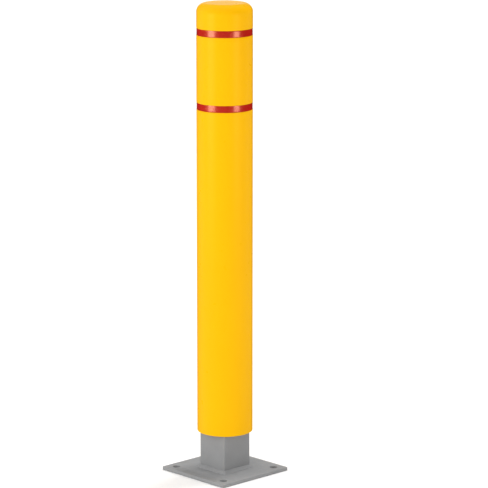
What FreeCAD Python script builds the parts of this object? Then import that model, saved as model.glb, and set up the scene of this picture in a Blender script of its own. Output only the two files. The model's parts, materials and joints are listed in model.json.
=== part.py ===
import FreeCAD, Part
import math
import os

# Steel safety bollard. Millimetres; the origin is the centre of the base plate's underside, +Z is up,
# and the base plate's sides lie along X and Y. A square stub tube is welded to the base plate. A second
# square tube stands above it on two bonded elastomer pads, held down by a sprung tie rod with a ball end,
# so that the post and its round plastic cover can lean and spring back.

V = FreeCAD.Vector
UP = V(0, 0, 1)

# Overall sizes
overall_height = 1346.0
plate_side = 254.0
plate_thickness = 9.525
tube_side = 101.6
tube_wall = 4.7625
tube_corner_radius = 4.0
tube_inner_corner_radius = 1.0
stub_top_z = 138.0

# Base plate
plate_corner_radius = 1.5
plate_edge_chamfer = 0.6
anchor_diameter = 22.0
anchor_edge_distance = 28.575

# Cover
cover_wall = 4.0
cover_gap = 4.8
cover_bottom_z = 120.0
shoulder_radius = 25.0
rim_radius = 2.4
rim_inner_radius = 0.8

# Reflective tapes in their grooves
tape_width = 19.0
tape_thickness = 0.5
tape_seam_gap = 1.5
groove_depth = 1.2
groove_side_gap = 0.4
groove_lip_radius = 0.6
upper_tape_drop = 79.3
lower_tape_drop = 287.5

# Welds
base_weld_leg = 9.0
inner_weld_leg = 6.0
cap_weld_leg = 3.2

# Lean joint
seat_thickness = 16.0
keeper_thickness = 12.0
rod_diameter = 20.0
ball_shoulder = 10.0
ball_clearance = 0.3
throat_margin = 5.0
seat_flare_angle = 25.0
screw_diameter = 8.0
keeper_screw_grip = 8.0
keeper_screw_margin = 9.0
service_hole_margin = 4.0
keeper_screw_count = 4
pad_thickness = 15.0
pad_outer_radius = 44.0
pad_hole_radius = 24.0
interleaf_thickness = 3.0
interleaf_margin = 1.0
plate_fit_gap = 0.5
foot_thickness = 12.7
rod_hole_clearance = 1.0

# Spring and its nuts
spring_wire = 12.0
spring_mean_diameter = 52.0
spring_length = 160.0
spring_active_coils = 7
spring_end_centre = 2.0
spring_coil_gap = 0.2
washer_thickness = 6.0
washer_margin = 4.0
washer_boss_height = 8.0
washer_boss_gap = 0.5
rod_tail = 10.0

# Post head and spacers
cap_thickness = 6.35
bumper_thickness = 6.0
bumper_radius = 42.0
spacer_height = 20.0
lower_spacer_z = 225.0
upper_spacer_drop = 66.0
cover_screw_diameter = 6.0
cover_screw_head_radius = 6.5
cover_screw_head_height = 3.6
cover_screw_length = 22.0
cover_screw_hole_clearance = 0.3
spot_face_depth = 1.2
spot_face_gap = 1.0

# Sizes that follow from the ones above
inner_side = tube_side - 2.0 * tube_wall
half_diagonal = tube_side / math.sqrt(2.0) - tube_corner_radius * (math.sqrt(2.0) - 1.0)
cover_inner_radius = half_diagonal + cover_gap
cover_radius = cover_inner_radius + cover_wall
groove_radius = cover_radius - groove_depth
anchor_offset = plate_side / 2.0 - anchor_edge_distance
pivot_z = cover_bottom_z
rod_radius = rod_diameter / 2.0
ball_radius = rod_radius + ball_shoulder
ball_seat_radius = ball_radius + ball_clearance
throat_radius = rod_radius + throat_margin
throat_z = pivot_z + math.sqrt(ball_seat_radius ** 2 - throat_radius ** 2)
flare_radius = throat_radius + (stub_top_z - throat_z) * math.tan(math.radians(seat_flare_angle))
keeper_screw_circle = ball_radius + keeper_screw_margin
keeper_radius = keeper_screw_circle + screw_diameter
service_hole_radius = keeper_radius + service_hole_margin
seat_bottom_z = stub_top_z - seat_thickness
keeper_bottom_z = seat_bottom_z - keeper_thickness
inset_side = inner_side - 2.0 * plate_fit_gap
interleaf_z = stub_top_z + pad_thickness
upper_pad_z = interleaf_z + interleaf_thickness
foot_z = upper_pad_z + pad_thickness
foot_top_z = foot_z + foot_thickness
spring_z = foot_top_z + washer_thickness
spring_top_z = spring_z + spring_length
nut_z = spring_top_z + washer_thickness
nut_across_flats = 1.5 * rod_diameter
nut_height = 0.9 * rod_diameter
jam_nut_z = nut_z + nut_height
jam_nut_height = 0.5 * rod_diameter
rod_top_z = jam_nut_z + jam_nut_height + rod_tail
spring_inner_radius = (spring_mean_diameter - spring_wire) / 2.0
washer_radius = (spring_mean_diameter + spring_wire) / 2.0 + washer_margin
dome_underside_z = overall_height - cover_wall
cap_top_z = dome_underside_z - bumper_thickness
post_top_z = cap_top_z - cap_thickness
cap_side = tube_side - 2.0 * cap_weld_leg
cap_corner = tube_corner_radius - cap_weld_leg
upper_spacer_z = overall_height - upper_spacer_drop
middle_spacer_z = (lower_spacer_z + upper_spacer_z) / 2.0
cover_screw_z = lower_spacer_z + spacer_height / 2.0
spot_face_radius = cover_screw_head_radius + spot_face_gap
spot_face_x = cover_radius - spot_face_depth


os.makedirs("parts", exist_ok=True)


def save(shape, node):
    shape.exportStep("parts/" + node + ".step")


def cylinder(radius, z0, z1):
    return Part.makeCylinder(radius, z1 - z0, V(0, 0, z0), UP)


def ring(inner_radius, outer_radius, z0, z1):
    return cylinder(outer_radius, z0, z1).cut(cylinder(inner_radius, z0 - 1.0, z1 + 1.0))


def square_wire(side, radius, z):
    """A square outline centred on the axis, with rounded corners."""
    h = side / 2.0
    s = h - radius
    m = radius * math.sqrt(0.5)
    edges = []
    for k in range(4):
        turn = FreeCAD.Rotation(UP, 90.0 * k)
        line = [turn.multVec(V(h, y, z)) for y in (-s, s)]
        bend = [turn.multVec(p) for p in (V(h, s, z), V(s + m, s + m, z), V(s, h, z))]
        edges.append(Part.LineSegment(*line).toShape())
        edges.append(Part.Arc(*bend).toShape())
    return Part.Wire(edges)


def square_block(side, radius, z0, z1):
    return Part.Face(square_wire(side, radius, z0)).extrude(V(0, 0, z1 - z0))


def square_taper(side0, radius0, z0, side1, radius1, z1):
    """A solid whose rounded square outline changes evenly from one height to another."""
    return Part.makeLoft([square_wire(side0, radius0, z0), square_wire(side1, radius1, z1)], True, True)


def square_tube(z0, z1):
    hollow = square_block(inner_side, tube_inner_corner_radius, z0 - 1.0, z1 + 1.0)
    return square_block(tube_side, tube_corner_radius, z0, z1).cut(hollow)


def outer_weld(side, radius, leg, z):
    """Fillet weld standing on a plate at z, around the outside of a square piece."""
    bead = square_taper(side + 2.0 * leg, radius + leg, z, side, radius, z + leg)
    return bead.cut(square_block(side, radius, z - 1.0, z + leg + 1.0))


def inner_weld(leg, z, way):
    """Fillet weld around the inside of the tube at z, narrowing upwards (way 1) or downwards (-1)."""
    low, high = sorted((z, z + way * leg))
    block = square_block(inner_side, tube_inner_corner_radius, low, high)
    throat = inner_side - 2.0 * leg
    radius = tube_inner_corner_radius
    return block.cut(square_taper(throat, radius, z, inner_side, radius, z + way * leg))


def hexagon(across_flats, z0, z1):
    r = across_flats / math.sqrt(3.0)
    points = [V(r * math.cos(math.radians(60 * k)), r * math.sin(math.radians(60 * k)), z0) for k in range(7)]
    return Part.Face(Part.makePolygon(points)).extrude(V(0, 0, z1 - z0))


def revolve(wire_edges):
    """A solid of revolution about the Z axis, from a closed outline in the XZ plane."""
    return Part.Face(Part.Wire(wire_edges)).revolve(V(0, 0, 0), UP, 360.0)


def line(a, b):
    return Part.LineSegment(V(a[0], 0, a[1]), V(b[0], 0, b[1])).toShape()


def arc(centre, radius, start, end):
    """An arc in the XZ plane, by its centre and its start and end angles in degrees."""
    points = []
    for angle in (start, (start + end) / 2.0, end):
        a = math.radians(angle)
        points.append(V(centre[0] + radius * math.cos(a), 0, centre[1] + radius * math.sin(a)))
    return Part.Arc(*points).toShape()


def groove(z_middle):
    """The ring that is cut from the cover for one tape, its two lips rounded over."""
    half = tape_width / 2.0 + groove_side_gap
    lip = groove_lip_radius
    low, high = z_middle - half, z_middle + half
    out = cover_radius + 1.0
    return revolve([
        line((groove_radius, low), (cover_radius - lip, low)),
        arc((cover_radius - lip, low - lip), lip, 90.0, 0.0),
        line((cover_radius, low - lip), (out, low - lip)),
        line((out, low - lip), (out, high + lip)),
        line((out, high + lip), (cover_radius, high + lip)),
        arc((cover_radius - lip, high + lip), lip, 0.0, -90.0),
        line((cover_radius - lip, high), (groove_radius, high)),
        line((groove_radius, high), (groove_radius, low)),
    ])


def tape(z_middle):
    """A tape ring in its groove, its ends meeting with a small gap at the back."""
    band = ring(groove_radius, groove_radius + tape_thickness, z_middle - tape_width / 2.0,
                z_middle + tape_width / 2.0)
    seam = Part.makeBox(cover_radius, tape_seam_gap, tape_width + 2.0,
                        V(0, -tape_seam_gap / 2.0, z_middle - tape_width / 2.0 - 1.0))
    seam.rotate(V(0, 0, 0), UP, 135.0)
    return band.cut(seam)


def nut(z, height):
    """A hexagon nut on the tie rod, its corners bevelled at both ends."""
    body = hexagon(nut_across_flats, z, z + height)
    tip = nut_across_flats / math.sqrt(3.0)
    bevel = tip - nut_across_flats / 2.0
    slope = bevel * math.tan(math.radians(30.0))
    envelope = revolve([
        line((0, z), (tip - bevel, z)),
        line((tip - bevel, z), (tip, z + slope)),
        line((tip, z + slope), (tip, z + height - slope)),
        line((tip, z + height - slope), (tip - bevel, z + height)),
        line((tip - bevel, z + height), (0, z + height)),
        line((0, z + height), (0, z)),
    ])
    return body.common(envelope).cut(cylinder(rod_radius, z - 1.0, z + height + 1.0))


def guide_washer(z, boss_z):
    """A spring washer with a boss that centres the coil; boss_z is the boss's free end."""
    flat = cylinder(washer_radius, z, z + washer_thickness)
    low, high = min(z, boss_z), max(z + washer_thickness, boss_z)
    boss = cylinder(spring_inner_radius - washer_boss_gap, low, high)
    hole = cylinder(rod_radius + rod_hole_clearance, low - 1.0, high + 1.0)
    return flat.fuse(boss).removeSplitter().cut(hole)


def spacer(z):
    """A plastic ring that centres the cover: round outside, square hole."""
    return cylinder(cover_inner_radius, z, z + spacer_height).cut(
        square_block(tube_side, tube_corner_radius, z - 1.0, z + spacer_height + 1.0))


# Base plate with four anchor holes and the service hole under the tube
plate = square_block(plate_side, plate_corner_radius, 0.0, plate_thickness)
rims = [e for f in plate.Faces for e in f.Edges if abs(abs(f.normalAt(0, 0).z) - 1.0) < 1e-6]
plate = plate.makeChamfer(plate_edge_chamfer, rims)
for x in (-anchor_offset, anchor_offset):
    for y in (-anchor_offset, anchor_offset):
        hole = cylinder(anchor_diameter / 2.0, -1.0, plate_thickness + 1.0)
        hole.translate(V(x, y, 0))
        plate = plate.cut(hole)
save(plate.cut(cylinder(service_hole_radius, -1.0, plate_thickness + 1.0)), "base_plate")

# Fixed stub tube and the weld around its foot
save(square_tube(plate_thickness, stub_top_z), "stub_tube")
save(outer_weld(tube_side, tube_corner_radius, base_weld_leg, plate_thickness), "base_weld")

# Ball seat: the plate inside the top of the stub, flared above its throat so that the tie rod can lean,
# the keeper below it and the keeper's screws
flare = Part.makeCone(throat_radius, flare_radius, stub_top_z - throat_z, V(0, 0, throat_z), UP)
ball_space = Part.makeSphere(ball_seat_radius, V(0, 0, pivot_z)).common(
    cylinder(2.0 * ball_seat_radius, pivot_z - 2.0 * ball_seat_radius, throat_z)).fuse(flare)
seat = square_block(inset_side, tube_inner_corner_radius, seat_bottom_z, stub_top_z).cut(ball_space)
keeper = cylinder(keeper_radius, keeper_bottom_z, seat_bottom_z).cut(ball_space)
screws = []
for k in range(keeper_screw_count):
    shift = FreeCAD.Rotation(UP, 45.0 + 360.0 / keeper_screw_count * k).multVec(V(keeper_screw_circle, 0, 0))
    tapped = cylinder(screw_diameter / 2.0, seat_bottom_z - 1.0, seat_bottom_z + keeper_screw_grip + 2.0)
    passing = cylinder(screw_diameter / 2.0 + 0.5, keeper_bottom_z - 1.0, seat_bottom_z + 1.0)
    shank = cylinder(screw_diameter / 2.0, keeper_bottom_z, seat_bottom_z + keeper_screw_grip)
    head = cylinder(0.8125 * screw_diameter, keeper_bottom_z - screw_diameter, keeper_bottom_z)
    socket = hexagon(0.75 * screw_diameter, keeper_bottom_z - screw_diameter - 1.0,
                     keeper_bottom_z - 0.5 * screw_diameter)
    screw = shank.fuse(head).cut(socket)
    for shape in (tapped, passing, screw):
        shape.translate(shift)
    seat = seat.cut(tapped)
    keeper = keeper.cut(passing)
    screws.append(screw)
save(seat, "seat_plate")
save(inner_weld(inner_weld_leg, seat_bottom_z, -1), "seat_weld")
save(keeper, "ball_keeper")
save(Part.makeCompound(screws), "keeper_screws")

# Two elastomer pads with a steel plate bonded between them
save(ring(pad_hole_radius, pad_outer_radius, stub_top_z, interleaf_z), "lower_pad")
save(ring(pad_hole_radius, pad_outer_radius + interleaf_margin, interleaf_z, upper_pad_z), "interleaf_plate")
save(ring(pad_hole_radius, pad_outer_radius, upper_pad_z, foot_z), "upper_pad")

# Foot plate inside the bottom of the post tube, and its weld
foot_hole = cylinder(rod_radius + rod_hole_clearance, foot_z - 1.0, foot_top_z + 1.0)
save(square_block(inset_side, tube_inner_corner_radius, foot_z, foot_top_z).cut(foot_hole), "foot_plate")
save(inner_weld(inner_weld_leg, foot_top_z, 1), "foot_weld")

# Tie rod with its ball end, which has a hexagon socket below
rod = cylinder(rod_radius, pivot_z, rod_top_z)
rod = rod.makeChamfer(1.5, [e for e in rod.Edges if e.BoundBox.ZMin > rod_top_z - 0.5])
ball = Part.makeSphere(ball_radius, V(0, 0, pivot_z))
ball_bottom_z = pivot_z - ball_radius
ball = ball.cut(hexagon(0.5 * rod_diameter, ball_bottom_z - 1.0, ball_bottom_z + 0.4 * rod_diameter))
save(ball.fuse(rod).removeSplitter(), "tie_rod")

# Coil spring with closed and ground ends, between two guide washers
closed_rise = spring_wire + spring_coil_gap
active_rise = (spring_length - 2.0 * (spring_end_centre + closed_rise)) / spring_active_coils
turns = spring_active_coils + 2
points_per_turn = 16
path_points = []
for k in range(turns * points_per_turn + 1):
    turn = k / points_per_turn
    active = min(max(turn - 1.0, 0.0), float(spring_active_coils))
    rise = spring_end_centre + active * active_rise + (turn - active) * closed_rise
    angle = 2.0 * math.pi * turn
    r = spring_mean_diameter / 2.0
    path_points.append(V(r * math.cos(angle), r * math.sin(angle), spring_z + rise))
path = Part.BSplineCurve()
path.interpolate(path_points)
section = Part.Wire([Part.makeCircle(spring_wire / 2.0, path_points[0], path.tangent(0.0)[0])])
coil = Part.Wire([path.toShape()]).makePipeShell([section], True, True)
save(coil.common(cylinder(2.0 * spring_mean_diameter, spring_z, spring_top_z)), "spring")
save(guide_washer(foot_top_z, spring_z + washer_boss_height), "spring_guide")
save(guide_washer(spring_top_z, spring_top_z - washer_boss_height), "spring_washer")
save(nut(nut_z, nut_height), "adjusting_nut")
save(nut(jam_nut_z, jam_nut_height), "jam_nut")

# Post tube, its cap plate, the weld on the tube's top and the bumper under the cover's dome
save(square_tube(foot_z, post_top_z), "post_tube")
save(square_block(cap_side, cap_corner, post_top_z, cap_top_z), "post_cap")
save(outer_weld(cap_side, cap_corner, cap_weld_leg, post_top_z), "cap_weld")
save(cylinder(bumper_radius, cap_top_z, dome_underside_z), "top_bumper")

# Round cover: outer outline, then inner outline, with the two tape grooves and the screw holes
inner_shoulder = shoulder_radius - cover_wall
flat_radius = cover_radius - shoulder_radius
shoulder_z = overall_height - shoulder_radius
rim_out = cover_radius - rim_radius
rim_in = cover_inner_radius + rim_inner_radius
cover = revolve([
    line((0, overall_height), (flat_radius, overall_height)),
    arc((flat_radius, shoulder_z), shoulder_radius, 90.0, 0.0),
    line((cover_radius, shoulder_z), (cover_radius, cover_bottom_z + rim_radius)),
    arc((rim_out, cover_bottom_z + rim_radius), rim_radius, 0.0, -90.0),
    line((rim_out, cover_bottom_z), (rim_in, cover_bottom_z)),
    arc((rim_in, cover_bottom_z + rim_inner_radius), rim_inner_radius, 270.0, 180.0),
    line((cover_inner_radius, cover_bottom_z + rim_inner_radius), (cover_inner_radius, shoulder_z)),
    arc((flat_radius, shoulder_z), inner_shoulder, 0.0, 90.0),
    line((flat_radius, dome_underside_z), (0, dome_underside_z)),
    line((0, dome_underside_z), (0, overall_height)),
])
upper_tape_z = overall_height - upper_tape_drop
lower_tape_z = overall_height - lower_tape_drop
cover = cover.cut(groove(upper_tape_z)).cut(groove(lower_tape_z))

# Cover screws at the back (+Y and -X), with their spot faces, into the lower spacer
lower_spacer = spacer(lower_spacer_z)
cover_screws = []
for turn in (90.0, 180.0):
    centre = V(0, 0, cover_screw_z)
    out = V(1, 0, 0)
    shank_start = spot_face_x - cover_screw_length
    shank = Part.makeCylinder(cover_screw_diameter / 2.0, cover_screw_length, centre + out * shank_start, out)
    head = Part.makeCylinder(cover_screw_head_radius, cover_screw_head_height, centre + out * spot_face_x, out)
    crown = [e for e in head.Edges if e.BoundBox.XMin > spot_face_x + cover_screw_head_height - 0.1]
    head = head.makeFillet(0.6 * cover_screw_head_height, crown)
    socket = hexagon(0.65 * cover_screw_diameter, 0.0, cover_screw_head_height)
    socket.rotate(V(0, 0, 0), V(0, 1, 0), 90.0)
    socket.translate(centre + out * (spot_face_x + 0.3 * cover_screw_head_height))
    hole_radius = cover_screw_diameter / 2.0 + cover_screw_hole_clearance
    hole = Part.makeCylinder(hole_radius, 2.0 * cover_wall, centre + out * (cover_inner_radius - 1.0), out)
    face = Part.makeCylinder(spot_face_radius, cover_wall, centre + out * spot_face_x, out)
    pilot_length = cover_screw_length + 1.0
    pilot = Part.makeCylinder(cover_screw_diameter / 2.0, pilot_length, centre + out * shank_start, out)
    screw = shank.fuse(head).cut(socket)
    for shape in (hole, face, pilot, screw):
        shape.rotate(V(0, 0, 0), UP, turn)
    cover = cover.cut(hole).cut(face)
    lower_spacer = lower_spacer.cut(pilot)
    cover_screws.append(screw)
save(cover, "cover")
save(Part.makeCompound(cover_screws), "cover_screws")
save(lower_spacer, "lower_spacer")
save(spacer(middle_spacer_z), "middle_spacer")
save(spacer(upper_spacer_z), "upper_spacer")
save(tape(upper_tape_z), "upper_tape")
save(tape(lower_tape_z), "lower_tape")
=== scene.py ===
import json
import math

import bmesh
import bpy
from mathutils import Matrix, Quaternion, Vector, noise


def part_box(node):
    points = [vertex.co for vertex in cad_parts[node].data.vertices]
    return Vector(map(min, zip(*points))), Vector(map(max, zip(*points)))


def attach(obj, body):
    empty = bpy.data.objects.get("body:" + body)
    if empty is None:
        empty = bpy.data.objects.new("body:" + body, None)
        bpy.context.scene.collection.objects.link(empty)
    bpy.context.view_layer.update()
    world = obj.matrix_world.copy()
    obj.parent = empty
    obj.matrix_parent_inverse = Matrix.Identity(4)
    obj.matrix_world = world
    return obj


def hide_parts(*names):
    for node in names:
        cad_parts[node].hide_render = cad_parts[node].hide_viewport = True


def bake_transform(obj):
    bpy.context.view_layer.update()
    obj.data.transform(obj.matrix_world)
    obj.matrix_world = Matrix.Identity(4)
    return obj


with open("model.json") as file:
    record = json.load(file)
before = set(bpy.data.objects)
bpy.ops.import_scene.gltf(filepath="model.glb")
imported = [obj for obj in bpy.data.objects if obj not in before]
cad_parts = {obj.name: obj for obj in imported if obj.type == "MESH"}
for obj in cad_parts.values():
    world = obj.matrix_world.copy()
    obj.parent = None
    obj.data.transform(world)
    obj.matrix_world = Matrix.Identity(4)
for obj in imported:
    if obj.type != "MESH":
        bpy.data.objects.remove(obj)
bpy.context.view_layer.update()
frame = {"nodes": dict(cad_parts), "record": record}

MM = 0.001
NODES = frame["nodes"]
SCENE = bpy.context.scene


# ---------------------------------------------------------------- sizes read from the frame
def span(node, axis):
    lo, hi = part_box(node)
    return lo[axis], hi[axis]


def half_width(node):
    lo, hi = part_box(node)
    return (hi.x - lo.x) / 2


PLATE_HALF = half_width("base_plate")
PLATE_TOP = span("base_plate", 2)[1]
TUBE_HALF = half_width("stub_tube")
STUB_TOP = span("stub_tube", 2)[1]
WELD_TOP = span("base_weld", 2)[1]
COVER_R = half_width("cover")
COVER_LOW, COVER_TOP = span("cover", 2)
TAPE_R = half_width("upper_tape")
mounts = {m["name"]: m for m in frame["record"]["mounts"]}
anchor = mounts["anchor_holes"]["dims"]
ANCHOR_OFFSET = anchor["spacing_x_mm"] / 2 * MM
ANCHOR_R = anchor["hole_r_mm"] * MM

# Sizes that the frame doesn't list, the same as in the CAD model.
SERVICE_R = 41.0 * MM
PLATE_CORNER = 1.5 * MM
PLATE_EDGE = 0.6 * MM
TUBE_CORNER = 4.0 * MM
TUBE_INNER_CORNER = 1.0 * MM
TUBE_WALL = 4.7625 * MM
COVER_WALL = 4.0 * MM
SHOULDER_R = 25.0 * MM
RIM_R = 2.4 * MM
RIM_IN_R = 0.8 * MM
GROOVE_DEPTH = 1.2 * MM
GROOVE_GAP = 0.4 * MM
LIP_R = 0.6 * MM
SCREW_HOLE_R = 3.3 * MM
SCREW_SEAT_R = 7.5 * MM
SCREW_SEAT_DEPTH = 1.2 * MM
SCREW_DIRECTIONS = (math.pi / 2, math.pi)
PAD_BORE_R = 24.0 * MM
SEAM_HALF_GAP = 0.75 * MM
SEAM_DIRECTION = math.radians(135)  # at the back, over the plate's hidden corner

# Small roundings that only the visual model has.
TUBE_END_EDGE = 0.5 * MM
GROOVE_ROOT_R = 0.35 * MM
SCREW_SEAT_EDGE = 0.4 * MM
TAPE_EDGE = 0.22 * MM
TAPE_FOOT_EDGE = 0.05 * MM

# Mesh fineness around the cover and tapes, and the radius below which a turned point is on the axis.
SEGMENTS = 256
AXIS_RADIUS = 1e-7


# ---------------------------------------------------------------- mesh helpers
def link(name, data):
    """A new object with the given mesh, light or camera, in the scene."""
    ob = bpy.data.objects.new(name, data)
    SCENE.collection.objects.link(ob)
    return ob


def skin(name, rings, caps=(), looped=False):
    """A mesh stitched through closed rings of equal length; looped joins the last ring to the first."""
    bm = bmesh.new()
    rows = [[bm.verts.new(p) for p in ring] for ring in rings]
    n = len(rows[0])
    pairs = list(zip(rows, rows[1:]))
    if looped:
        pairs.append((rows[-1], rows[0]))
    for a, b in pairs:
        for i in range(n):
            j = (i + 1) % n
            bm.faces.new((a[i], a[j], b[j], b[i]))
    for row in caps:
        bm.faces.new(rows[row])
    bmesh.ops.recalc_face_normals(bm, faces=bm.faces)
    mesh = bpy.data.meshes.new(name)
    bm.to_mesh(mesh)
    bm.free()
    return link(name, mesh)


def lathe(name, profile, segments, closed=False):
    """A solid of revolution from (radius, height) points; a point on the axis becomes one vertex."""
    bm = bmesh.new()
    rows = []
    for r, z in profile:
        if r < AXIS_RADIUS:
            rows.append([bm.verts.new((0, 0, z))])
        else:
            rows.append([bm.verts.new((r * math.cos(a), r * math.sin(a), z))
                         for a in (2 * math.pi * i / segments for i in range(segments))])
    pairs = list(zip(rows, rows[1:]))
    if closed:
        pairs.append((rows[-1], rows[0]))
    for a, b in pairs:
        for i in range(segments):
            j = (i + 1) % segments
            corners = [a[i % len(a)], a[j % len(a)], b[j % len(b)], b[i % len(b)]]
            unique = list(dict.fromkeys(corners))
            if len(unique) > 2:
                bm.faces.new(unique)
    bmesh.ops.recalc_face_normals(bm, faces=bm.faces)
    mesh = bpy.data.meshes.new(name)
    bm.to_mesh(mesh)
    bm.free()
    return link(name, mesh)


def arc(cx, cz, r, start, end, steps):
    """Points along an arc in the (radius, height) plane, angles in degrees."""
    return [(cx + r * math.cos(math.radians(a)), cz + r * math.sin(math.radians(a)))
            for a in (start + (end - start) * i / steps for i in range(steps + 1))]


def run(a, b, step):
    """Points strictly between a and b, about step apart."""
    n = max(1, round(math.dist(a, b) / step))
    return [(a[0] + (b[0] - a[0]) * i / n, a[1] + (b[1] - a[1]) * i / n) for i in range(1, n)]


def square_ring(half, radius, z, corner_steps, side_steps=1):
    """A rounded square outline, anticlockwise, at height z."""
    s = half - radius
    points = []
    for k in range(4):
        turn = Matrix.Rotation(math.pi / 2 * k, 3, "Z")
        for i in range(side_steps):
            points.append(turn @ Vector((half, -s + 2 * s * i / side_steps, z)))
        for i in range(corner_steps):
            a = math.pi / 2 * i / corner_steps
            points.append(turn @ Vector((s + radius * math.cos(a), s + radius * math.sin(a), z)))
    return points


def smooth(ob, degrees):
    """Smooth shading, with edges sharper than the angle kept sharp."""
    mesh = ob.data
    for poly in mesh.polygons:
        poly.use_smooth = True
    mesh.set_sharp_from_angle(angle=math.radians(degrees))
    return ob


def apply_modifiers(ob):
    """Replaces ob's mesh by what its modifiers make of it."""
    graph = bpy.context.evaluated_depsgraph_get()
    mesh = bpy.data.meshes.new_from_object(ob.evaluated_get(graph))
    old = ob.data
    ob.modifiers.clear()
    ob.data = mesh
    bpy.data.meshes.remove(old)


def cut(ob, tool):
    """Takes the tool's shape out of ob."""
    m = ob.modifiers.new("cut", "BOOLEAN")
    m.operation, m.solver, m.object = "DIFFERENCE", "EXACT", tool
    apply_modifiers(ob)
    bpy.data.objects.remove(tool)


def finish_piece(ob, material, body, replaced):
    """Gives the piece its material and body, and lets it stand for a CAD node."""
    ob.data.materials.clear()
    ob.data.materials.append(material)
    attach(ob, body)
    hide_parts(replaced)


# ---------------------------------------------------------------- material helpers
class Nodes:
    """A small builder around one material's node tree. Texture scales are in features per metre."""

    def __init__(self, name):
        self.material = bpy.data.materials.new(name)
        self.material.use_nodes = True
        self.tree = self.material.node_tree
        self.tree.nodes.clear()
        self.shader = self.tree.nodes.new("ShaderNodeBsdfPrincipled")
        out = self.tree.nodes.new("ShaderNodeOutputMaterial")
        self.tree.links.new(self.shader.outputs[0], out.inputs["Surface"])
        self.object = self.tree.nodes.new("ShaderNodeTexCoord").outputs["Object"]

    def wire(self, value, socket):
        if isinstance(value, bpy.types.NodeSocket):
            self.tree.links.new(value, socket)
        else:
            socket.default_value = value

    def set(self, **values):
        for key, value in values.items():
            self.wire(value, self.shader.inputs[key.replace("_", " ")])
        return self

    def scaled(self, x, y, z, vector=None):
        node = self.tree.nodes.new("ShaderNodeMapping")
        self.wire(vector or self.object, node.inputs["Vector"])
        node.inputs["Scale"].default_value = (x, y, z)
        return node.outputs[0]

    def noise(self, scale, detail, rough, vector=None):
        node = self.tree.nodes.new("ShaderNodeTexNoise")
        self.wire(vector or self.object, node.inputs["Vector"])
        node.inputs["Scale"].default_value = scale
        node.inputs["Detail"].default_value = detail
        node.inputs["Roughness"].default_value = rough
        return node.outputs["Fac"]

    def cells(self, scale, feature="F1", vector=None, randomness=1.0):
        node = self.tree.nodes.new("ShaderNodeTexVoronoi")
        node.feature = feature
        self.wire(vector or self.object, node.inputs["Vector"])
        node.inputs["Scale"].default_value = scale
        node.inputs["Randomness"].default_value = randomness
        return node.outputs["Distance"]

    def ramp(self, fac, stops):
        """Maps fac through (position, grey level) stops."""
        node = self.tree.nodes.new("ShaderNodeValToRGB")
        self.wire(fac, node.inputs[0])
        points = node.color_ramp.elements
        while len(points) < len(stops):
            points.new(0.5)
        for point, (at, value) in zip(points, stops):
            point.position = at
            point.color = (value, value, value, 1.0)
        return node.outputs[0]

    def math(self, kind, a, b):
        node = self.tree.nodes.new("ShaderNodeMath")
        node.operation = kind
        for value, socket in zip((a, b), node.inputs):
            self.wire(value, socket)
        return node.outputs[0]

    def blend(self, fac, a, b):
        """Mixes two colours; the node's colour sockets are inputs 6 and 7 and output 2."""
        node = self.tree.nodes.new("ShaderNodeMix")
        node.data_type = "RGBA"
        self.wire(fac, node.inputs["Factor"])
        self.wire(a, node.inputs[6])
        self.wire(b, node.inputs[7])
        return node.outputs[2]

    def bump(self, height, distance, strength, under=None):
        """Surface relief, distance metres high, laid over the relief under it."""
        node = self.tree.nodes.new("ShaderNodeBump")
        node.inputs["Strength"].default_value = strength
        node.inputs["Distance"].default_value = distance
        self.wire(height, node.inputs["Height"])
        if under is not None:
            self.wire(under, node.inputs["Normal"])
        return node.outputs[0]

    def axis(self, index):
        node = self.tree.nodes.new("ShaderNodeSeparateXYZ")
        self.wire(self.object, node.inputs[0])
        return node.outputs[index]


def rgb(r, g, b):
    return (r, g, b, 1.0)


def yellow_plastic():
    """Satin moulded polyethylene: fine moulded grain, faint colour drift, a few hairline scuffs."""
    n = Nodes("yellow_plastic")
    drift = n.noise(7.0, 2.0, 0.5, n.scaled(1.0, 1.0, 0.35))
    mottle = n.noise(160.0, 4.0, 0.6)
    colour = n.blend(n.ramp(drift, [(0.35, 0.0), (0.65, 1.0)]),
                     rgb(0.94, 0.474, 0.0005), rgb(0.95, 0.491, 0.0007))
    colour = n.blend(n.ramp(mottle, [(0.3, 0.0), (0.75, 0.35)]), colour, rgb(0.92, 0.452, 0.0005))
    grain = n.noise(950.0, 2.0, 0.55)
    pebble = n.cells(620.0, "SMOOTH_F1")
    wave = n.noise(16.0, 1.0, 0.4, n.scaled(1.0, 1.0, 0.3))
    scuff_lines = n.cells(55.0, "DISTANCE_TO_EDGE", n.scaled(1.0, 1.0, 0.12))
    scuff_here = n.ramp(n.noise(9.0, 3.0, 0.6), [(0.60, 0.0), (0.68, 1.0)])
    scuffs = n.math("MULTIPLY", n.ramp(scuff_lines, [(0.0, 1.0), (0.012, 0.0)]), scuff_here)
    polish = n.ramp(n.noise(60.0, 4.0, 0.6), [(0.3, 0.27), (0.7, 0.33)])
    rough = n.math("ADD", polish, n.math("MULTIPLY", scuffs, 0.18))
    bump = n.bump(wave, 0.0012, 0.10)
    bump = n.bump(pebble, 0.00016, 0.30, bump)
    bump = n.bump(grain, 0.00010, 0.35, bump)
    bump = n.bump(scuffs, -0.00006, 0.5, bump)
    n.set(Base_Color=colour, Roughness=rough, Normal=bump)
    n.shader.inputs["IOR"].default_value = 1.5
    n.shader.inputs["Specular IOR Level"].default_value = 0.28
    n.shader.inputs["Specular Tint"].default_value = rgb(1.0, 0.85, 0.24)
    return n.material


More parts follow.
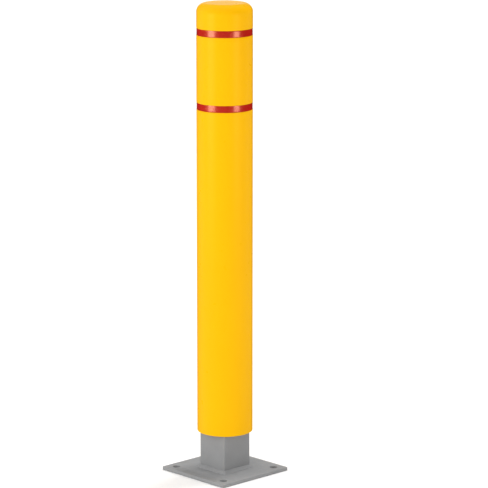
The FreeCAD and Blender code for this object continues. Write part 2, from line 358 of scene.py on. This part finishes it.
def red_tape():
    """Red retroreflective sheeting: clear top film over metallic red with a fine sealed-cell pattern."""
    n = Nodes("red_tape")
    atan = n.math("ARCTAN2", n.axis(1), n.axis(0))
    combine = n.tree.nodes.new("ShaderNodeCombineXYZ")
    n.wire(n.math("MULTIPLY", atan, TAPE_R), combine.inputs[0])
    n.wire(n.axis(2), combine.inputs[1])
    flat = combine.outputs[0]
    cell_vector = n.scaled(1.0, 1.155, 1.0, flat)
    edge = n.cells(290.0, "DISTANCE_TO_EDGE", cell_vector, randomness=0.0)
    seal = n.ramp(edge, [(0.03, 1.0), (0.07, 0.0)])
    beads = n.noise(4200.0, 2.0, 0.6)
    tone = n.noise(28.0, 3.0, 0.6, n.scaled(0.35, 1.0, 1.0, flat))
    colour = n.blend(n.ramp(tone, [(0.3, 0.0), (0.7, 1.0)]),
                     rgb(0.55, 0.0050, 0.0020), rgb(0.63, 0.0070, 0.0028))
    colour = n.blend(n.ramp(beads, [(0.35, 0.0), (0.65, 0.25)]), colour, rgb(0.72, 0.014, 0.007))
    colour = n.blend(n.math("MULTIPLY", seal, 0.3), colour, rgb(0.62, 0.030, 0.020))
    rough = n.ramp(tone, [(0.3, 0.18), (0.7, 0.23)])
    bump = n.bump(seal, 0.00010, 0.35)
    bump = n.bump(beads, 0.00003, 0.4, bump)
    bump = n.bump(tone, 0.0005, 0.12, bump)
    n.set(Base_Color=colour, Roughness=rough, Normal=bump)
    n.shader.inputs["IOR"].default_value = 2.2
    n.shader.inputs["Specular IOR Level"].default_value = 1.0
    n.shader.inputs["Specular Tint"].default_value = rgb(1.0, 0.47, 0.26)
    n.shader.inputs["Coat Weight"].default_value = 0.6
    n.shader.inputs["Coat IOR"].default_value = 1.5
    n.shader.inputs["Coat Roughness"].default_value = 0.16
    return n.material


def grey_coating(name, rolled_strength):
    """Flat grey coating on rolled or welded steel: fine orange peel, dust nibs, faint clouding."""
    n = Nodes(name)
    cloud = n.noise(22.0, 4.0, 0.6)
    speck = n.cells(420.0)
    speck_here = n.ramp(n.noise(130.0, 2.0, 0.5), [(0.58, 0.0), (0.64, 1.0)])
    nib = n.math("MULTIPLY", n.ramp(speck, [(0.10, 1.0), (0.22, 0.0)]), speck_here)
    colour = n.blend(n.ramp(cloud, [(0.3, 0.0), (0.7, 1.0)]),
                     rgb(0.286, 0.288, 0.291), rgb(0.314, 0.316, 0.319))
    colour = n.blend(n.math("MULTIPLY", nib, 0.35), colour, rgb(0.24, 0.24, 0.235))
    peel = n.noise(700.0, 2.0, 0.5)
    rolled = n.noise(90.0, 3.0, 0.55)
    rough = n.ramp(n.noise(75.0, 4.0, 0.6), [(0.3, 0.42), (0.7, 0.54)])
    bump = n.bump(rolled, 0.0004, rolled_strength)
    bump = n.bump(peel, 0.00012, 0.45, bump)
    bump = n.bump(nib, 0.00010, 0.5, bump)
    n.set(Base_Color=colour, Roughness=rough, Normal=bump)
    n.shader.inputs["IOR"].default_value = 1.5
    n.shader.inputs["Specular IOR Level"].default_value = 0.4
    return n.material


def bare_steel(name, dark, light, rough_low, rough_high, streak=1.0):
    """Uncoated or plated steel: clouded tone, drawn streaks and small pits.

    It is only part metal, because the studio is dim in reflections and full metal would look black in it.
    """
    n = Nodes(name)
    cloud = n.noise(38.0, 5.0, 0.6)
    streaks = n.noise(55.0, 3.0, 0.6, n.scaled(1.0, 1.0, 14.0 * streak))
    tone = n.math("ADD", n.math("MULTIPLY", cloud, 0.6), n.math("MULTIPLY", streaks, 0.4))
    colour = n.blend(n.ramp(tone, [(0.35, 0.0), (0.65, 1.0)]), dark, light)
    rough = n.ramp(streaks, [(0.3, rough_low), (0.7, rough_high)])
    bump = n.bump(streaks, 0.00008, 0.35)
    bump = n.bump(n.cells(520.0), 0.00008, 0.3, bump)
    n.set(Base_Color=colour, Roughness=rough, Normal=bump)
    n.shader.inputs["Metallic"].default_value = 0.45
    return n.material


def dull_black(name, base, light, rough_low, rough_high, grain):
    """Black rubber or moulded plastic with a fine grain and a little bloom."""
    n = Nodes(name)
    bloom = n.noise(30.0, 4.0, 0.6)
    colour = n.blend(n.ramp(bloom, [(0.35, 0.0), (0.75, 1.0)]), base, light)
    fine = n.noise(grain, 3.0, 0.6)
    rough = n.ramp(bloom, [(0.3, rough_low), (0.7, rough_high)])
    n.set(Base_Color=colour, Roughness=rough, Normal=n.bump(fine, 0.00015, 0.5))
    n.shader.inputs["Specular IOR Level"].default_value = 0.35
    return n.material


YELLOW = yellow_plastic()
RED = red_tape()
GREY = grey_coating("grey_coating", 0.12)
BEAD = grey_coating("grey_coating_on_weld", 0.3)
MILL = bare_steel("mill_steel", rgb(0.23, 0.23, 0.235), rgb(0.36, 0.36, 0.365), 0.34, 0.52)
ZINC = bare_steel("zinc_plate", rgb(0.52, 0.53, 0.53), rgb(0.68, 0.68, 0.66), 0.22, 0.36, 0.3)
SPRING = bare_steel("oiled_spring_steel", rgb(0.05, 0.05, 0.055), rgb(0.10, 0.10, 0.11), 0.28, 0.42, 0.2)
RUBBER = dull_black("black_elastomer", rgb(0.018, 0.018, 0.018), rgb(0.032, 0.032, 0.033), 0.58, 0.74, 1100.0)
BLACK = dull_black("black_plastic", rgb(0.022, 0.022, 0.023), rgb(0.034, 0.034, 0.035), 0.40, 0.52, 800.0)


# ---------------------------------------------------------------- cover
def groove_profile(node):
    """The outer outline across one tape groove, from above it to below it."""
    lo, hi = span(node, 2)
    hi, lo = hi + GROOVE_GAP, lo - GROOVE_GAP
    floor = COVER_R - GROOVE_DEPTH
    root = floor + GROOVE_ROOT_R
    lip = COVER_R - LIP_R
    upper = arc(lip, hi + LIP_R, LIP_R, 0, -90, 5) + arc(root, hi - GROOVE_ROOT_R, GROOVE_ROOT_R, 90, 180, 3)
    lower = arc(root, lo + GROOVE_ROOT_R, GROOVE_ROOT_R, 180, 270, 3) + arc(lip, lo - LIP_R, LIP_R, 90, 0, 5)
    return upper + run(upper[-1], lower[0], 5 * MM) + lower


def cover_profile():
    """The cover's section from the middle of its top, down the outside and back up the inside."""
    shoulder = arc(COVER_R - SHOULDER_R, COVER_TOP - SHOULDER_R, SHOULDER_R, 90, 0, 22)
    points = [(0.0, COVER_TOP)] + run((0.0, COVER_TOP), shoulder[0], 9 * MM) + shoulder
    for node in ("upper_tape", "lower_tape"):
        groove = groove_profile(node)
        points += run(points[-1], groove[0], 22 * MM) + groove
    rim = arc(COVER_R - RIM_R, COVER_LOW + RIM_R, RIM_R, 0, -90, 9)
    points += run(points[-1], rim[0], 22 * MM) + rim
    inner_r = COVER_R - COVER_WALL
    points += arc(inner_r + RIM_IN_R, COVER_LOW + RIM_IN_R, RIM_IN_R, 270, 180, 4)
    inner = arc(COVER_R - SHOULDER_R, COVER_TOP - SHOULDER_R, SHOULDER_R - COVER_WALL, 0, 90, 12)
    points += run(points[-1], inner[0], 60 * MM) + inner
    ceiling = (0.0, COVER_TOP - COVER_WALL)
    return points + run(inner[-1], ceiling, 14 * MM) + [ceiling]


def screw_cutter(z, turn):
    """A turned cutter for a screw's hole and its round seat, at height z in the direction turn."""
    seat = COVER_R - SCREW_SEAT_DEPTH
    flat_r = SCREW_SEAT_R - SCREW_SEAT_EDGE
    inward, outward = seat - 30 * MM, seat + 20 * MM
    profile = [(0.0, inward), (SCREW_HOLE_R, inward), (SCREW_HOLE_R, seat), (flat_r, seat)]
    profile += arc(flat_r, seat + SCREW_SEAT_EDGE, SCREW_SEAT_EDGE, -90, 0, 3)
    profile += [(SCREW_SEAT_R, outward), (0.0, outward)]
    tool = lathe("screw_cutter", profile, 48)
    tool.matrix_world = (Matrix.Translation((0, 0, z)) @ Matrix.Rotation(turn, 4, "Z")
                         @ Matrix.Rotation(math.pi / 2, 4, "Y"))
    bpy.context.view_layer.update()
    return tool


cover = lathe("cover_shell", cover_profile(), SEGMENTS)
for direction in SCREW_DIRECTIONS:
    cut(cover, screw_cutter(sum(span("cover_screws", 2)) / 2, direction))
smooth(cover, 28)
finish_piece(cover, YELLOW, "post", "cover")


# ---------------------------------------------------------------- tapes
def tape_band(name, node):
    """A thin band around the groove's floor with rounded long edges and two cut ends at the back."""
    lo, hi = span(node, 2)
    floor = COVER_R - GROOVE_DEPTH
    low, high, edge = lo + TAPE_EDGE, hi - TAPE_EDGE, TAPE_R - TAPE_EDGE
    section = [(floor, lo + TAPE_FOOT_EDGE)] + arc(edge, low, TAPE_EDGE, -90, 0, 3)
    section += run((TAPE_R, low), (TAPE_R, high), 3 * MM)
    section += arc(edge, high, TAPE_EDGE, 0, 90, 3) + [(floor, hi - TAPE_FOOT_EDGE)]
    gap = SEAM_HALF_GAP / TAPE_R
    rings = []
    for i in range(SEGMENTS + 1):
        a = SEAM_DIRECTION + gap + (2 * math.pi - 2 * gap) * i / SEGMENTS
        rings.append([(r * math.cos(a), r * math.sin(a), z) for r, z in section])
    ob = skin(name, rings, caps=(0, -1))
    smooth(ob, 40)
    finish_piece(ob, RED, "post", node)


tape_band("upper_tape_band", "upper_tape")
tape_band("lower_tape_band", "lower_tape")


# ---------------------------------------------------------------- base plate
def circle_points(x, y, r, n):
    return [(x + r * math.cos(2 * math.pi * i / n), y + r * math.sin(2 * math.pi * i / n)) for i in range(n)]


def plate_mesh(name, outline, holes, z0, z1, edge):
    """A flat plate with its outer rims and its hole rims rounded over."""
    curve = bpy.data.curves.new(name, "CURVE")
    curve.dimensions = "2D"
    curve.fill_mode = "BOTH"
    for points in [outline] + holes:
        spline = curve.splines.new("POLY")
        spline.points.add(len(points) - 1)
        for p, q in zip(spline.points, points):
            p.co = (q[0], q[1], 0.0, 1.0)
        spline.use_cyclic_u = True
    curve.extrude = (z1 - z0) / 2 - edge
    curve.bevel_depth = edge
    curve.bevel_resolution = 2
    curve.offset = -edge
    ob = bpy.data.objects.new(name + "_curve", curve)
    SCENE.collection.objects.link(ob)
    graph = bpy.context.evaluated_depsgraph_get()
    mesh = bpy.data.meshes.new_from_object(ob.evaluated_get(graph))
    mesh.transform(Matrix.Translation((0, 0, (z0 + z1) / 2)))
    bpy.data.objects.remove(ob)
    bm = bmesh.new()
    bm.from_mesh(mesh)
    bmesh.ops.remove_doubles(bm, verts=bm.verts, dist=1e-6)
    bmesh.ops.recalc_face_normals(bm, faces=bm.faces)
    bm.to_mesh(mesh)
    bm.free()
    mesh.name = name
    return link(name, mesh)


outline = [(p.x, p.y) for p in square_ring(PLATE_HALF, PLATE_CORNER, 0, 5)]
holes = [circle_points(x, y, ANCHOR_R, 64) for x in (-ANCHOR_OFFSET, ANCHOR_OFFSET)
         for y in (-ANCHOR_OFFSET, ANCHOR_OFFSET)]
holes.append(circle_points(0, 0, SERVICE_R, 96))
plate = smooth(plate_mesh("foot_base_plate", outline, holes, 0.0, PLATE_TOP, PLATE_EDGE), 35)
finish_piece(plate, GREY, "base", "base_plate")


# ---------------------------------------------------------------- tube foot
def tube_rings(z0, z1, edge, sides):
    """Outlines up the outside and down the inside of a square tube, its cut ends slightly rounded."""
    inner_half, inner_corner = TUBE_HALF - TUBE_WALL, TUBE_INNER_CORNER
    levels = [(edge, z0), (0.3 * edge, z0 + 0.3 * edge), (0.0, z0 + edge)]
    heights = [z0 + edge + (z1 - z0 - 2 * edge) * i / 6 for i in range(1, 6)]
    levels += [(0.0, z) for z in heights]
    levels += [(0.0, z1 - edge), (0.3 * edge, z1 - 0.3 * edge), (edge, z1)]
    rings = [square_ring(TUBE_HALF - d, TUBE_CORNER - d, z, 10, sides) for d, z in levels]
    rings += [square_ring(inner_half + d, inner_corner + d, z, 10, sides) for d, z in reversed(levels)]
    return rings


tube = skin("foot_square_tube", tube_rings(PLATE_TOP, STUB_TOP, TUBE_END_EDGE, 6), looped=True)
smooth(tube, 40)
finish_piece(tube, GREY, "base", "stub_tube")


# ---------------------------------------------------------------- weld bead
BEAD_SECTIONS = 1600
BEAD_ACROSS = 12
BEAD_PITCH = 3.4 * MM
BEAD_RIPPLE = 0.36 * MM
BEAD_CROWN = 0.45 * MM
BEAD_ROOT = 0.6 * MM
BEAD_SINK = 0.3 * MM


def perimeter_frames(half, radius, count):
    """Evenly spaced (point, outward direction, distance) around a rounded square, and its whole length."""
    s = half - radius
    side, bend = 2 * s, math.pi / 2 * radius
    total = 4 * (side + bend)
    frames = []
    for i in range(count):
        d = total * i / count
        k, rest = int(d // (side + bend)), d % (side + bend)
        turn = Matrix.Rotation(math.pi / 2 * k, 3, "Z")
        if rest < side:
            point, out = Vector((half, -s + rest, 0)), Vector((1, 0, 0))
        else:
            a = (rest - side) / radius
            out = Vector((math.cos(a), math.sin(a), 0))
            point = Vector((s, s, 0)) + out * radius
        frames.append((turn @ point, turn @ out, d))
    return frames, total


def weld_noise(distance, rate, row):
    """Smooth noise along the weld, with rate features per metre; each row is a different one."""
    return noise.noise(Vector((distance * rate, row, 0.0)))


def weld_bead(name):
    """A fillet bead around the tube's foot: curved ripples, an uneven toe and a slight crown."""
    leg = WELD_TOP - PLATE_TOP
    frames, total = perimeter_frames(TUBE_HALF, TUBE_CORNER, BEAD_SECTIONS)
    pitch = total / round(total / BEAD_PITCH)
    rings = []
    for point, out, d in frames:
        reach = leg * (0.93 + 0.06 * weld_noise(d, 60, 3.1))
        rise = leg * (0.93 + 0.06 * weld_noise(d, 60, 9.7))
        base = point + Vector((0, 0, PLATE_TOP))
        ring = []
        for i in range(BEAD_ACROSS + 1):
            t = i / BEAD_ACROSS
            v = 2 * t - 1
            phase = (d + 1.1 * pitch * v * v) / pitch + 0.35 * weld_noise(d, 140, 5.5)
            saw = phase - math.floor(phase)
            ripple = BEAD_RIPPLE * (math.sin(math.pi * saw) ** 0.7 - 0.5)
            swell = (BEAD_CROWN + ripple) * (1 - v * v) * math.sqrt(0.5)
            ring.append(base + out * (reach * (1 - t) + swell) + Vector((0, 0, rise * t + swell)))
        ring.append(base - out * BEAD_ROOT + Vector((0, 0, rise)))
        ring.append(base - out * BEAD_ROOT - Vector((0, 0, BEAD_SINK)))
        ring.append(base + out * reach - Vector((0, 0, BEAD_SINK)))
        rings.append(ring)
    return skin(name, rings, looped=True)


bead = smooth(weld_bead("foot_weld_bead"), 50)
finish_piece(bead, BEAD, "base", "base_weld")


# ---------------------------------------------------------------- elastomer pads
PAD_STEPS = 12
PAD_OUTER_BULGE = 0.9 * MM
PAD_INNER_BULGE = 0.7 * MM


def pad(name, node):
    """A bonded pad, its free sides bulging a little, between the two bodies that it joins."""
    lo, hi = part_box(node)
    z0, z1 = lo.z, hi.z
    levels = [(z0 + (z1 - z0) * i / PAD_STEPS, math.sin(math.pi * i / PAD_STEPS)) for i in range(PAD_STEPS + 1)]
    outside = [(half_width(node) + PAD_OUTER_BULGE * swell, z) for z, swell in levels]
    inside = [(PAD_BORE_R - PAD_INNER_BULGE * swell, z) for z, swell in reversed(levels)]
    ob = smooth(lathe(name, outside + inside, 96, closed=True), 40)
    ob.data.materials.append(RUBBER)
    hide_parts(node)
    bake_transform(ob)


pad("lower_pad_rubber", "lower_pad")
pad("upper_pad_rubber", "upper_pad")


# ---------------------------------------------------------------- pieces kept from the frame
KEPT = {
    MILL: ["seat_plate", "ball_keeper", "foot_plate", "post_cap", "interleaf_plate", "spring_guide",
           "spring_washer"],
    GREY: ["post_tube"],
    BEAD: ["seat_weld", "foot_weld", "cap_weld"],
    ZINC: ["keeper_screws", "tie_rod", "adjusting_nut", "jam_nut", "cover_screws"],
    SPRING: ["spring"],
    RUBBER: ["top_bumper"],
    BLACK: ["lower_spacer", "middle_spacer", "upper_spacer"],
}
for material, names in KEPT.items():
    for node_name in names:
        node = NODES[node_name]
        node.data.materials.clear()
        node.data.materials.append(material)
        smooth(node, 30)


# ---------------------------------------------------------------- floor and lights
VIEW_AZIMUTH = math.radians(46.5)
FLOOR_RADIUS = 60.0
FLOOR_DROP = 0.4 * MM

# Soft boxes: azimuth in degrees from the camera's side, positive to its right; distance and height of the box;
# its width and height; watts; and the height that it is aimed at.
SOFT_BOXES = {
    "left_box": (-56, 3.2, 0.98, (1.6, 1.3), 17, 0.9),
    "right_box": (50, 3.2, 0.78, (1.25, 0.95), 9, 0.8),
    "back_box": (180, 3.4, 1.75, (1.8, 1.3), 5, 1.3),
}
OVERHEAD_LEVEL = 0.46
OVERHEAD_ANGLE = math.radians(25)
OVERHEAD_AZIMUTH = math.radians(135)
OVERHEAD_ELEVATION = math.radians(50)
WORLD_LEVEL = 0.765
WORLD_SLOPE = 0.43
WORLD_ZENITH = 0.38
GLOSSY_SHARE = 0.03


def floor_piece():
    """A wide pale floor just under the plate, left out of reflections."""
    n = Nodes("pale_floor")
    tone = n.ramp(n.noise(3.0, 3.0, 0.5), [(0.3, 0.0), (0.7, 1.0)])
    n.set(Base_Color=n.blend(tone, rgb(0.945, 0.945, 0.945), rgb(0.955, 0.955, 0.955)))
    n.shader.inputs["Roughness"].default_value = 0.85
    n.shader.inputs["Specular IOR Level"].default_value = 0.1
    bpy.ops.mesh.primitive_circle_add(vertices=128, radius=FLOOR_RADIUS, fill_type="NGON",
                                      location=(0, 0, -FLOOR_DROP))
    ob = bpy.context.object
    ob.name = "studio_floor"
    ob.data.materials.append(n.material)
    ob.visible_glossy = False


def area_light(name, azimuth, distance, height, size, power, target):
    a = VIEW_AZIMUTH + math.radians(azimuth)
    at = Vector((math.sin(a) * distance, -math.cos(a) * distance, height))
    data = bpy.data.lights.new(name, "AREA")
    data.shape = "RECTANGLE"
    data.size, data.size_y = size
    data.energy = power
    ob = link(name, data)
    ob.location = at
    ob.rotation_euler = (Vector((0, 0, target)) - at).to_track_quat("-Z", "Y").to_euler()
    ob.visible_camera = False


def overhead_light():
    """A very wide soft light from high up behind the bollard, to the camera's right."""
    data = bpy.data.lights.new("overhead", "SUN")
    data.energy = OVERHEAD_LEVEL * math.pi
    data.angle = OVERHEAD_ANGLE
    ob = link("overhead", data)
    ob.visible_glossy = False
    a, e = VIEW_AZIMUTH + OVERHEAD_AZIMUTH, OVERHEAD_ELEVATION
    toward = Vector((math.sin(a) * math.cos(e), -math.cos(a) * math.cos(e), math.sin(e)))
    ob.rotation_euler = toward.to_track_quat("Z", "Y").to_euler()


def studio_world():
    """White light from all round, stronger from the camera's left and from overhead; dimmer in reflections."""
    world = bpy.data.worlds.new("studio")
    SCENE.world = world
    world.use_nodes = True
    world.cycles.sampling_method = "NONE"
    tree = world.node_tree

    def calculate(operation, *values):
        node = tree.nodes.new("ShaderNodeMath")
        node.operation = operation
        for value, socket in zip(values, node.inputs):
            if isinstance(value, bpy.types.NodeSocket):
                tree.links.new(value, socket)
            else:
                socket.default_value = value
        return node.outputs[0]

    direction = tree.nodes.new("ShaderNodeTexCoord").outputs["Generated"]
    side = tree.nodes.new("ShaderNodeVectorMath")
    side.operation = "DOT_PRODUCT"
    tree.links.new(direction, side.inputs[0])
    side.inputs[1].default_value = (-math.cos(VIEW_AZIMUTH), -math.sin(VIEW_AZIMUTH), 0.0)
    height = tree.nodes.new("ShaderNodeSeparateXYZ")
    tree.links.new(direction, height.inputs[0])
    glossy = tree.nodes.new("ShaderNodeLightPath").outputs["Is Glossy Ray"]
    level = calculate("MULTIPLY_ADD", side.outputs["Value"], WORLD_SLOPE, WORLD_LEVEL)
    above = calculate("POWER", calculate("MAXIMUM", height.outputs["Z"], 0.0), 2.0)
    level = calculate("MULTIPLY_ADD", above, WORLD_ZENITH, level)
    dim = calculate("MULTIPLY_ADD", glossy, GLOSSY_SHARE - 1.0, 1.0)
    background = tree.nodes["Background"]
    background.inputs["Color"].default_value = (1.0, 1.0, 1.0, 1.0)
    tree.links.new(calculate("MULTIPLY", level, dim), background.inputs["Strength"])


floor_piece()
for box_name, box in SOFT_BOXES.items():
    area_light(box_name, *box)
overhead_light()
studio_world()

SCENE.view_settings.view_transform = "Standard"
SCENE.view_settings.look = "None"

# ---------------------------------------------------------------- camera
# It looks down a little from a long way off, at the corner of the plate between +X and -Y.
CAMERA_DISTANCE = 7.463
CAMERA_HEIGHT = 2.230
CAMERA_PITCH = math.radians(11.86)
CAMERA_ROLL = math.radians(0.05)
CAMERA_LENS = 199.4
CAMERA_SHIFT = 0.0394
camera_data = bpy.data.cameras.new("camera")
camera_data.sensor_width = 36.0
camera_data.lens = CAMERA_LENS
camera_data.shift_x = CAMERA_SHIFT
camera_data.clip_end = 200.0
camera = link("camera", camera_data)
ahead = Vector((-math.sin(VIEW_AZIMUTH), math.cos(VIEW_AZIMUTH), 0.0))
camera.location = ahead * -CAMERA_DISTANCE + Vector((0, 0, CAMERA_HEIGHT))
forward = ahead * math.cos(CAMERA_PITCH) - Vector((0, 0, math.sin(CAMERA_PITCH)))
roll = Quaternion((0.0, 0.0, 1.0), -CAMERA_ROLL)
camera.rotation_euler = (forward.to_track_quat("-Z", "Y") @ roll).to_euler()
SCENE.camera = camera
